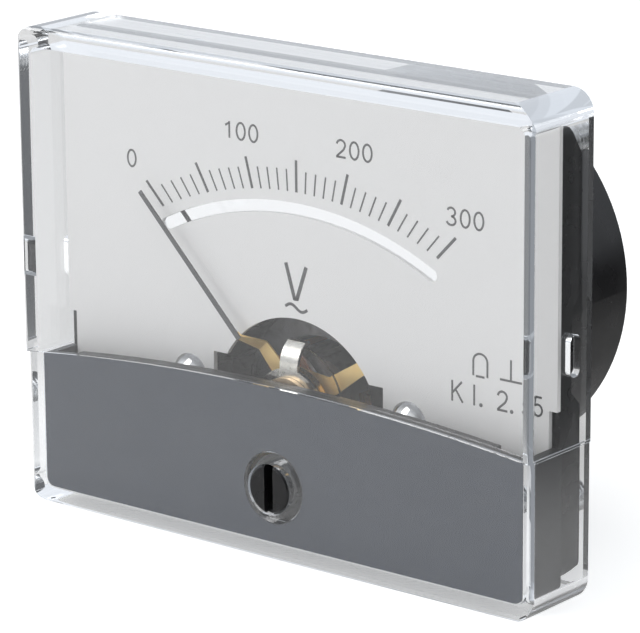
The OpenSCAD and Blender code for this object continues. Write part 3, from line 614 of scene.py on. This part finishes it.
crown_nickel, rim_painted_shade = (0.92, 0.91, 0.88), (0.3, 0.3, 0.3)
screw_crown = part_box("dial_screws")[0].y / mm
screw_nickel, tree, shader = finish_of("bright_nickel", crown_nickel, 0.06, 1.0)
screw_y = axes_of(tree, object_mm(tree))["Y"]
# painted shade: each head darkens from its crown down to its foot, a painted dark reflection at the
# rim and painted shade next to the dial
tint(tree, shader, ramp(tree, screw_y, screw_crown + 0.15, screw_crown + 0.75),
     crown_nickel, rim_painted_shade)
dress("dial_screws", screw_nickel)
dress("zero_lever", worked_metal("nickel_strip", color=(0.62, 0.6, 0.55), dull=(0.5, 0.48, 0.44),
                                 roughness=0.22, along=0.5, across=9.0, depth=0.002))


# ---- brass and bronze parts --------------------------------------------
# Stamped brass for the bridges, the core's shoes and the rear boss, turned
# brass for the jewel screws, and rolled bronze ribbon for the rear hairspring.
stamped_brass = worked_metal("stamped_brass", color=(0.8, 0.56, 0.22), dull=(0.62, 0.4, 0.16),
                             roughness=0.26, along=0.6, across=8.0, depth=0.004)
for node in ("front_bridge", "rear_bridge", "core_shoes", "rear_boss"):
    dress(node, stamped_brass)
dress("jewel_screws", worked_metal("turned_brass", color=(0.66, 0.5, 0.32), dull=(0.5, 0.36, 0.22),
                                   roughness=0.3, along=5.0, across=5.0, depth=0.003))
dress("rear_hairspring", worked_metal("ribbon_bronze", color=(0.4, 0.31, 0.2),
                                      dull=(0.2, 0.16, 0.12), roughness=0.2,
                                      along=2.0, across=8.0, depth=0.002))


# ---- pointer carrier ---------------------------------------------------
# One brass stamping on the coil's turned hub: two balance arms, gussets between
# the arms, and the pointer's arm, which is bent forward over the zero lever.
# Tinned weights are soldered behind the balance arms.
def stands_for(name, mesh, material, node, body):
    """A drawn piece that takes a plain node's place and rides its body."""
    piece = add_piece(name, mesh, material)
    piece.data.shade_smooth()
    piece.data.set_sharp_from_angle(angle=math.radians(35))
    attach(piece, body)
    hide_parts(node)


def ribbon(mesh, sections):
    """A strip through sections of corners in millimetres, closed at both ends."""
    skin(mesh, [[mesh.verts.new([value * mm for value in corner]) for corner in section]
                for section in sections])


rest_turn = math.radians(scale_start)
balance_turn = math.radians(100)


def from_pivot(side, reach, y, turn=0.0):
    """A point given across and along a direction, turned about the pivot."""
    angle = rest_turn + turn
    return (side * math.cos(angle) + reach * math.sin(angle), y,
            pivot_height - side * math.sin(angle) + reach * math.cos(angle))


def strip_section(half, reach, front, back, turn=0.0, lead=0.0):
    """The four corners of a strip at a reach from the pivot; lead carries the back further out."""
    return [from_pivot(-half, reach, front, turn), from_pivot(half, reach, front, turn),
            from_pivot(half, reach + lead, back, turn), from_pivot(-half, reach + lead, back, turn)]


# the balance arms and webs lie a hair inside the stamping's two faces, so
# that no two faces share a plane; arm lists reach, front and half width
carrier_front, carrier_back = -3.0, -2.8
arm_front, arm_thickness, slope_lead = -5.2, 0.19, 0.1
arm_root, arm_rise, arm_end = 6.65, 8.35, 8.7
web_reach = 5.4
balance_reach, balance_root_half, balance_tip_half = 9.2, 1.1, 0.6
balance_apart, web_apart = 0.01, 0.025
arm = [(0, carrier_front, 0.75), (web_reach, carrier_front, 0.75), (arm_root, carrier_front, 0.64),
       (arm_root + 0.15, carrier_front - 0.06, 0.62), (arm_rise - 0.12, arm_front + 0.08, 0.3),
       (arm_rise, arm_front, 0.28), (arm_end, arm_front, 0.22)]
mesh = bmesh.new()
ribbon(mesh, [strip_section(half, reach, y, y + arm_thickness,
                            lead=slope_lead if y < carrier_front else 0.0)
              for reach, y, half in arm])
for side in (-1, 1):
    ribbon(mesh, [strip_section(half, reach, carrier_front + balance_apart,
                                carrier_back - balance_apart, side * balance_turn)
                  for reach, half in ((0, balance_root_half), (balance_reach, balance_tip_half))])
    web = [(0, 0), (0, web_reach),
           (side * web_reach * math.sin(balance_turn), web_reach * math.cos(balance_turn))]
    ribbon(mesh, [[from_pivot(*corner, y) for corner in web]
                  for y in (carrier_front + web_apart, carrier_back - web_apart)])
hub_bore, hub_neck, hub_r = 0.3, 0.85, 1.3
hub_front, hub_back = -3.62, -1.95
hub_sides = 32
hub = [(hub_bore, hub_front), (hub_neck, hub_front), (hub_neck, carrier_front),
       (hub_r, carrier_front), (hub_r, hub_back), (hub_bore, hub_back)]
skin(mesh, [[mesh.verts.new((r * math.cos(turn) * mm, y * mm,
                             (pivot_height + r * math.sin(turn)) * mm))
             for turn in [2 * math.pi * k / hub_sides for k in range(hub_sides)]]
            for r, y in hub], closed=True)
carrier_brass = worked_metal("lacquered_brass", color=(1.0, 0.72, 0.3), dull=(0.93, 0.65, 0.26),
                             roughness=0.36, along=0.6, across=8.0, depth=0.003)
carrier_brass.node_tree.nodes["Principled BSDF"].inputs["Metallic"].default_value = 0.6
stands_for("pointer_carrier_stamped", mesh, carrier_brass, "pointer_carrier", "movement")
dress("balance_weights", worked_metal("tinned_weight", color=(0.7, 0.7, 0.68),
                                      dull=(0.5, 0.5, 0.48), roughness=0.3,
                                      along=3.0, across=3.0, depth=0.004))


# ---- front hairspring --------------------------------------------------
# A fine bronze ribbon from the hub out to the zero lever. Its turns lie close
# at the hub, and the last one opens out to where it is soldered.
spring_turns, spring_steps = 5.25, 300
spring_root, spring_spread, spring_opening = 1.0, 2.2, 2.6
spring_front, spring_back = -3.52, -3.32
spring_thickness = 0.07
mesh = bmesh.new()
sections = []
for step in range(spring_steps + 1):
    part = step / spring_steps
    turn = math.radians(90 - 360 * spring_turns * (1 - part))
    inner = spring_root + spring_spread * part + spring_opening * part ** 6
    outer = inner + spring_thickness
    sections.append([(r * math.cos(turn), y, pivot_height + r * math.sin(turn))
                     for r, y in ((inner, spring_front), (outer, spring_front),
                                  (outer, spring_back), (inner, spring_back))])
ribbon(mesh, sections)
dark_ribbon = worked_metal("blued_ribbon", color=(0.2, 0.17, 0.13), dull=(0.1, 0.09, 0.08),
                           roughness=0.25, along=2.0, across=8.0)
stands_for("front_hairspring_wound", mesh, dark_ribbon, "front_hairspring", "lever")


# ---- pointer -----------------------------------------------------------
# Drawn aluminium ribbon, stoved dark grey so that it stands out from the
# dial, cemented to the end of the carrier's long arm.
pointer_front, pointer_back = (corner.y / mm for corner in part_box("pointer"))
pointer_start, pointer_waist, pointer_stop = 8.15, 12.0, 25.3
mesh = bmesh.new()
ribbon(mesh, [strip_section(half, reach, pointer_front, pointer_back) for reach, half in
              ((pointer_start, 0.26), (pointer_waist, 0.24), (pointer_stop, 0.2))])
pointer_enamel = moulded_plastic("pointer_enamel", color=(0.09, 0.09, 0.094), worn=(0.2, 0.2, 0.2),
                                 roughness=0.4, dust=0.1)
stands_for("pointer_ribbon", mesh, pointer_enamel, "pointer", "movement")


# ---- magnet system and frame -------------------------------------------
# Sintered core magnet, machined soft-iron ring, drawn aluminium tubes and
# small steel screws.
dress("core_magnet", worked_metal("ground_magnet", color=(0.3, 0.3, 0.31), dull=(0.2, 0.2, 0.2),
                                  roughness=0.35, along=6.0, across=6.0, depth=0.006))
dress("return_ring", worked_metal("soft_iron", color=(0.11, 0.11, 0.115), dull=(0.06, 0.06, 0.06),
                                  roughness=0.38, along=6.0, across=6.0, depth=0.006))
drawn_aluminium = worked_metal("drawn_aluminium", color=(0.8, 0.8, 0.81), dull=(0.62, 0.62, 0.62),
                               roughness=0.3, along=4.0, across=4.0, depth=0.003)
for node in ("coil_former", "bridge_spacers"):
    dress(node, drawn_aluminium)
turned_steel = worked_metal("turned_steel", color=(0.55, 0.55, 0.56), dull=(0.38, 0.37, 0.35),
                            roughness=0.25, along=5.0, across=5.0, depth=0.003)
for node in ("coil_pivots", "bridge_screws", "frame_screws"):
    dress(node, turned_steel)


# ---- coil winding ------------------------------------------------------
# Some hundreds of turns of thin enamelled copper wire laid side by side on
# the aluminium frame, which shows as fine ridges along each side.
wire_pitch = 0.12
groove_painted_shade, ridge_copper = (0.35, 0.12, 0.05), (0.72, 0.32, 0.14)
copper, tree, shader = finish_of("enamelled_copper", ridge_copper, 0.28, 1.0)
ridges = tree.nodes.new("ShaderNodeTexWave")
ridges.bands_direction = "DIAGONAL"
ridges.inputs["Scale"].default_value = 0.3 / (wire_pitch * mm)
ridges.inputs["Distortion"].default_value = 0.6
tree.links.new(tree.nodes.new("ShaderNodeTexCoord").outputs["Object"], ridges.inputs["Vector"])
# painted shade: the grooves between the wires are coloured darker than the ridges
tint(tree, shader, ridges.outputs["Fac"], groove_painted_shade, ridge_copper)
raise_by(tree, shader, ridges.outputs["Fac"], 0.03 * mm)
dress("coil_winding", copper)


# ---- circuit -----------------------------------------------------------
# Glass-cloth laminate with a green lacquer, four moulded diodes and one
# lacquered resistor, joined to the movement by two insulated leads.
cloth_pitch = 0.6
green, green_thread = (0.04, 0.15, 0.07), (0.07, 0.22, 0.1)
laminate, tree, shader = finish_of("green_laminate", green, 0.35)
cloth = tree.nodes.new("ShaderNodeTexChecker")
cloth.inputs["Scale"].default_value = 1 / (cloth_pitch * mm)
tree.links.new(tree.nodes.new("ShaderNodeTexCoord").outputs["Object"], cloth.inputs["Vector"])
tint(tree, shader, combine(tree, "MULTIPLY", cloth.outputs["Fac"], 0.3), green, green_thread)
raise_by(tree, shader, cloth.outputs["Fac"], 0.01 * mm)
dress("circuit_board", laminate)
dress("rectifier_diodes", moulded_plastic("diode_epoxy", color=(0.025, 0.025, 0.027),
                                          worn=(0.2, 0.2, 0.2), roughness=0.3, dust=0.1))
dress("series_resistor", moulded_plastic("resistor_lacquer", color=(0.42, 0.3, 0.18),
                                         worn=(0.6, 0.5, 0.36), roughness=0.32, dust=0.1))
dress("movement_leads", moulded_plastic("lead_sleeve", color=(0.4, 0.03, 0.02),
                                        worn=(0.55, 0.2, 0.16), roughness=0.42, dust=0.1))


# ---- terminals ---------------------------------------------------------
# M4 brass studs through the floor of the barrel, each with a tinned solder
# tag, a washer and a brass nut; a second nut is the user's.
thread_depth, rings_per_turn = 0.6, 8
run_out = 0.05


def round_stud(mesh, x, z, stations, radius, pitch, thread, sides=40):
    """A stud along Y. Stations are (y, radius) in millimetres; thread is its (start, end)."""
    start, end = thread
    depth = thread_depth * pitch
    steps = round((end - start) / pitch * rings_per_turn)
    rings = [(y, r, False) for y, r in stations if y <= start]
    rings += [(start + (end - start) * i / steps, radius, True) for i in range(1, steps)]
    rings += [(y, r, False) for y, r in stations if y > start]
    rows = []
    for y, r, cut in rings:
        row = []
        for side in range(sides):
            turn = 2 * math.pi * side / sides
            phase = (y / pitch - side / sides) % 1
            groove = depth * (1 - abs(2 * phase - 1)) if cut else 0
            row.append(mesh.verts.new(((x + (r - groove) * math.cos(turn)) * mm, y * mm,
                                       (z + (r - groove) * math.sin(turn)) * mm)))
        rows.append(row)
    skin(mesh, rows)


stud_low, stud_high = (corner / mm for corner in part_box("terminal_studs"))
head_r, shank_r, terminal_r = 3.4, 2.25, 2.0
terminal_pitch = 0.7
head_rear = stud_low.y + 0.8
shank_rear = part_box("terminal_nuts")[1].y / mm + 0.3
terminal_chamfer = 0.4
terminal_x = stud_high.x - head_r
terminal_z = (stud_low.z + stud_high.z) / 2
terminal_brass = worked_metal("terminal_brass", color=(0.78, 0.57, 0.25), dull=(0.58, 0.4, 0.18),
                              roughness=0.22, along=3.0, across=3.0, depth=0.003)
mesh = bmesh.new()
for side in (-1, 1):
    round_stud(mesh, side * terminal_x, terminal_z,
               [(stud_low.y, head_r), (head_rear, head_r), (head_rear, shank_r),
                (shank_rear, shank_r), (shank_rear, terminal_r),
                (stud_high.y - terminal_chamfer, terminal_r),
                (stud_high.y, terminal_r - terminal_chamfer)],
               terminal_r, terminal_pitch,
               (shank_rear + run_out, stud_high.y - terminal_chamfer - run_out))
stands_for("terminal_studs_threaded", mesh, terminal_brass, "terminal_studs", "case")
dress("terminal_nuts", terminal_brass)
tinned_sheet = worked_metal("tinned_sheet", color=(0.72, 0.71, 0.68), dull=(0.52, 0.51, 0.48),
                            roughness=0.28, along=1.0, across=5.0, depth=0.004)
dress("solder_tags", tinned_sheet)
dress("terminal_washers", tinned_sheet)


# ---- mounting studs ----------------------------------------------------
# Four M3 steel studs moulded into the flange, zinc plated. They pass through
# the panel and take the user's nuts.
stud_low, stud_high = (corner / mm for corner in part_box("mounting_studs"))
root_r, mounting_r = 1.7, 1.5
mounting_pitch = 0.5
root_end, thread_start = -0.1, 0.2
mounting_chamfer = 0.3
zinc_plate = worked_metal("zinc_plate", color=(0.66, 0.67, 0.68), dull=(0.5, 0.5, 0.5),
                          roughness=0.26, along=3.0, across=3.0, depth=0.003)
mesh = bmesh.new()
for side in (-1, 1):
    for rise in (-1, 1):
        round_stud(mesh, side * (stud_high.x - root_r), rise * (stud_high.z - root_r),
                   [(stud_low.y, root_r), (root_end, root_r), (root_end, mounting_r),
                    (thread_start, mounting_r), (stud_high.y - mounting_chamfer, mounting_r),
                    (stud_high.y, mounting_r - mounting_chamfer)],
                   mounting_r, mounting_pitch,
                   (thread_start, stud_high.y - mounting_chamfer - run_out), sides=32)
stands_for("mounting_studs_threaded", mesh, zinc_plate, "mounting_studs", "case")
